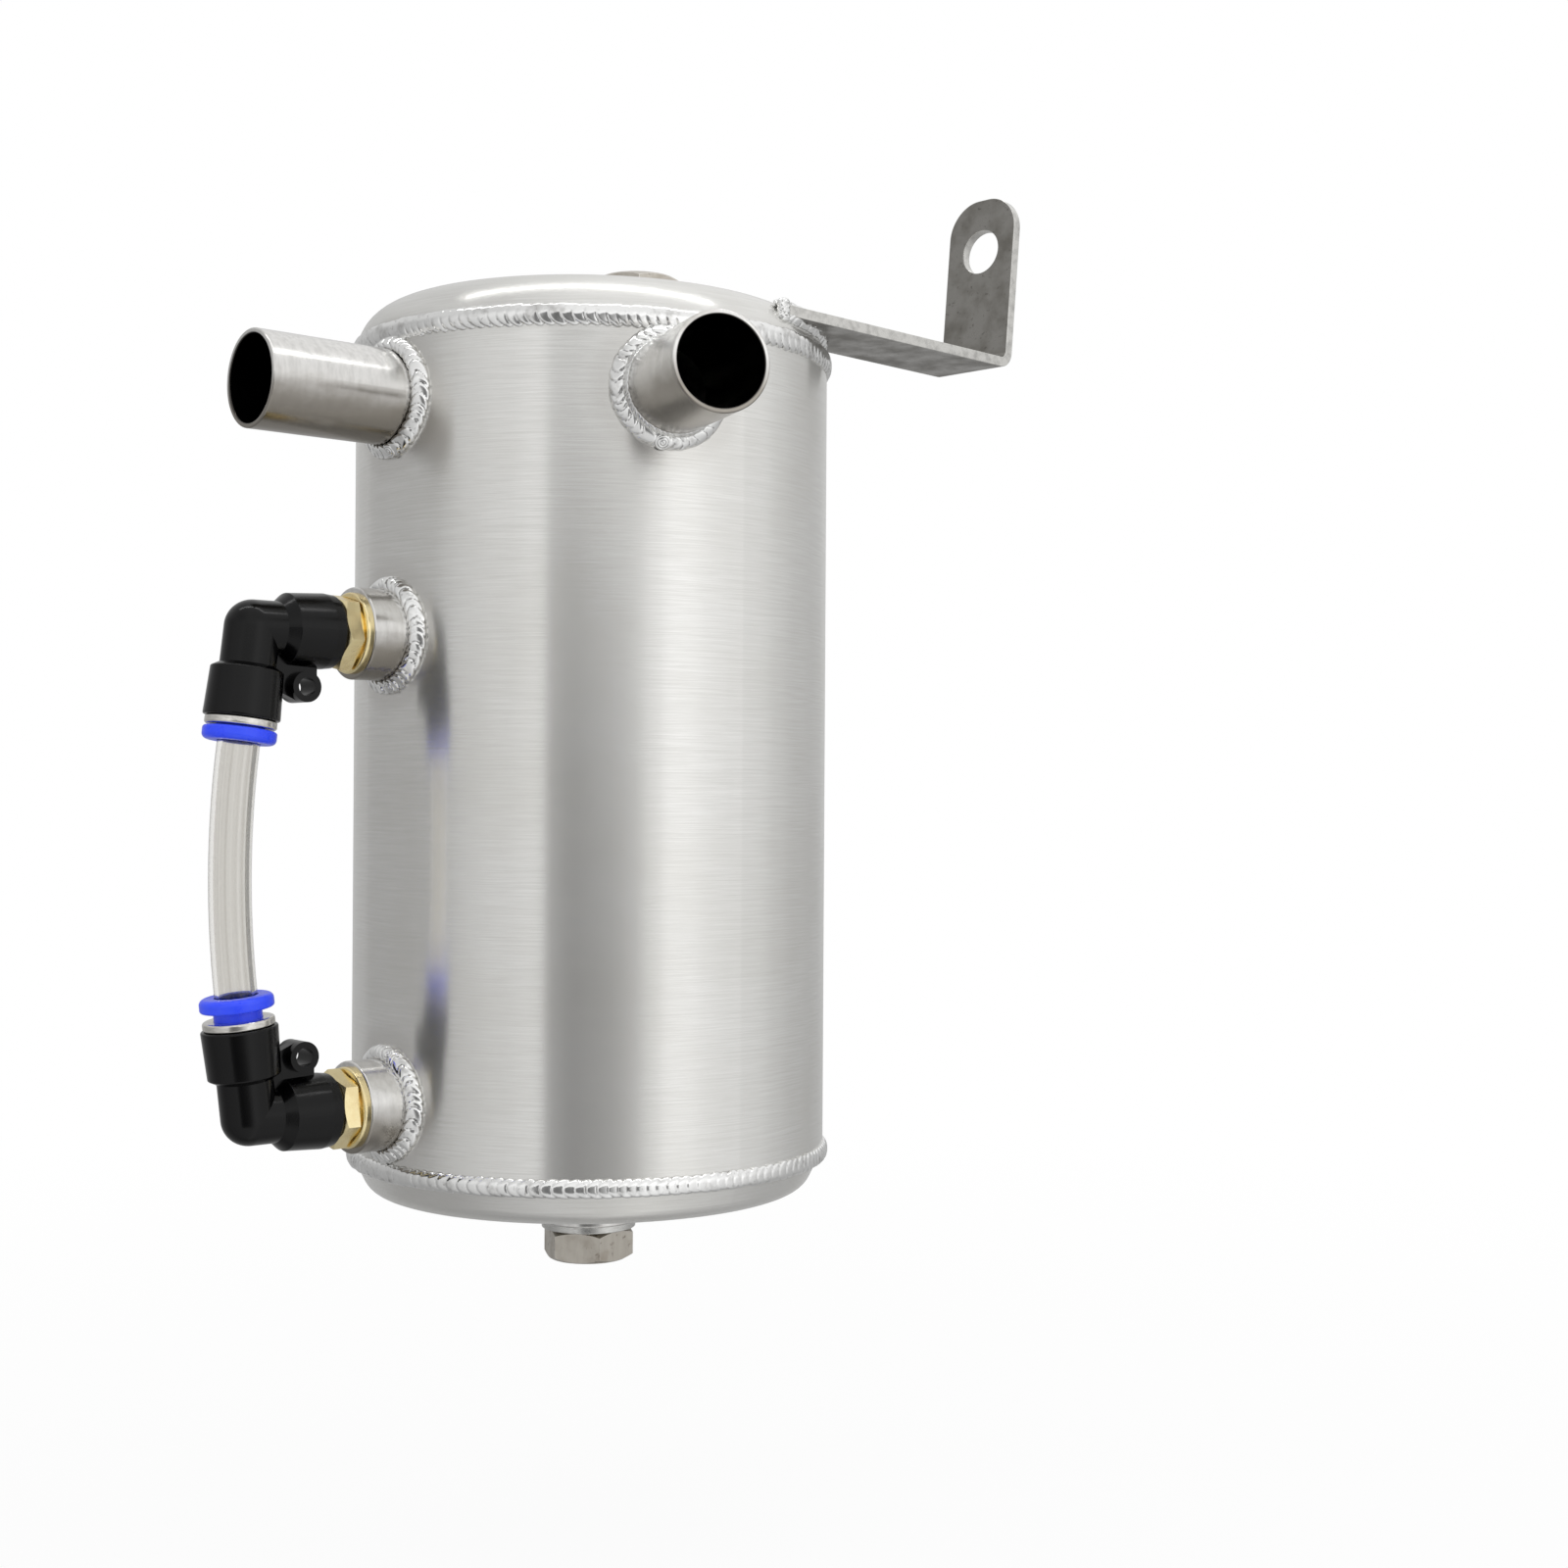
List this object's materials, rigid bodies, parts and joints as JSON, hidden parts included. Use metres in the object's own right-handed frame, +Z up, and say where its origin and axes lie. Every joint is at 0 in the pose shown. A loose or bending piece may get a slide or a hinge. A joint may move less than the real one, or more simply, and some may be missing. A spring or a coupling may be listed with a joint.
{
  "type": "oil catch can",
  "caption": "Round welded oil catch can with two hose spigots, a push-in sight tube, drain and top plugs and a side bracket.",
  "frame": {"origin": "centre of the bracket's bolt hole, on the outer face of its tab", "axes": "+Z up along the can's axis, -Y the way the inlet spigot and the sight tube point, +X towards the side that carries the bracket"},
  "size_m": [0.1276, 0.179, 0.2364],
  "materials": {
    "brushed_aluminium": "brushed round the can, satin",
    "turned_aluminium": "turned, bright",
    "weld_bead": "bright rippled weld",
    "soft_aluminium": "plain",
    "brass": "machined, pale",
    "black_plastic": "moulded, slight gloss",
    "blue_plastic": "moulded, gloss",
    "nickel_plate": "satin nickel plate",
    "spring_steel": "plain",
    "black_rubber": "moulded",
    "clear_tube": "clear, gloss",
    "plug_steel": "plain grey-brown steel",
    "bracket_steel": "mill finish with bright edges"
  },
  "bodies": {
    "can": {"body_tube": "brushed_aluminium", "top_cap": "brushed_aluminium", "bottom_cap": "brushed_aluminium", "top_seam_weld": "weld_bead", "bottom_seam_weld": "weld_bead", "inlet_spigot": "turned_aluminium", "inlet_weld": "weld_bead", "outlet_spigot": "turned_aluminium", "outlet_weld": "weld_bead", "upper_bung": "turned_aluminium", "upper_bung_weld": "weld_bead", "upper_stud": "brass", "upper_stud_ring": "black_rubber", "upper_elbow": "black_plastic", "upper_tube_seal": "black_rubber", "upper_grip_claw": "spring_steel", "upper_cap_ring": "nickel_plate", "lower_bung": "turned_aluminium", "lower_bung_weld": "weld_bead", "lower_stud": "brass", "lower_stud_ring": "black_rubber", "lower_elbow": "black_plastic", "lower_tube_seal": "black_rubber", "lower_grip_claw": "spring_steel", "lower_cap_ring": "nickel_plate", "sight_tube": "clear_tube", "drain_bung": "turned_aluminium", "drain_bung_weld": "weld_bead", "top_bung": "turned_aluminium", "top_bung_weld": "weld_bead", "bracket": "bracket_steel", "bracket_weld": "weld_bead"},
    "upper_collar": {"upper_release_collar": "blue_plastic"},
    "lower_collar": {"lower_release_collar": "blue_plastic"},
    "drain_seal": {"drain_washer": "soft_aluminium"},
    "drain_screw": {"drain_plug": "plug_steel"},
    "top_seal": {"top_washer": "soft_aluminium"},
    "top_screw": {"top_plug": "plug_steel"}
  },
  "joints": [
    {"name": "upper_collar_slide", "type": "slide", "parent": "can", "child": "upper_collar", "axis": [0, -0.1219, -0.9925], "range_m": [0, 0.0015]},
    {"name": "lower_collar_slide", "type": "slide", "parent": "can", "child": "lower_collar", "axis": [0, -0.1219, 0.9925], "range_m": [-0.0015, 0]},
    {"name": "drain_plug_travel", "type": "slide", "parent": "can", "child": "drain_seal", "axis": [0, 0, -1], "range_m": [0, 0.0105]},
    {"name": "drain_plug_turn", "type": "hinge", "parent": "drain_seal", "child": "drain_screw", "pos_m": [-0.03209, -0.08812, -0.21747], "axis": [0, 0, -1], "range_deg": [0, 2520]},
    {"name": "top_plug_travel", "type": "slide", "parent": "can", "child": "top_seal", "axis": [0, 0, 1], "range_m": [0, 0.0105]},
    {"name": "top_plug_turn", "type": "hinge", "parent": "top_seal", "child": "top_screw", "pos_m": [-0.03209, -0.07642, -0.01927], "axis": [0, 0, 1], "range_deg": [0, 2520]}
  ],
  "couplings": [
    {"joint": "drain_plug_travel", "follows": "drain_plug_turn", "m_per_rad": 0.00023873},
    {"joint": "top_plug_travel", "follows": "top_plug_turn", "m_per_rad": 0.00023873}
  ]
}
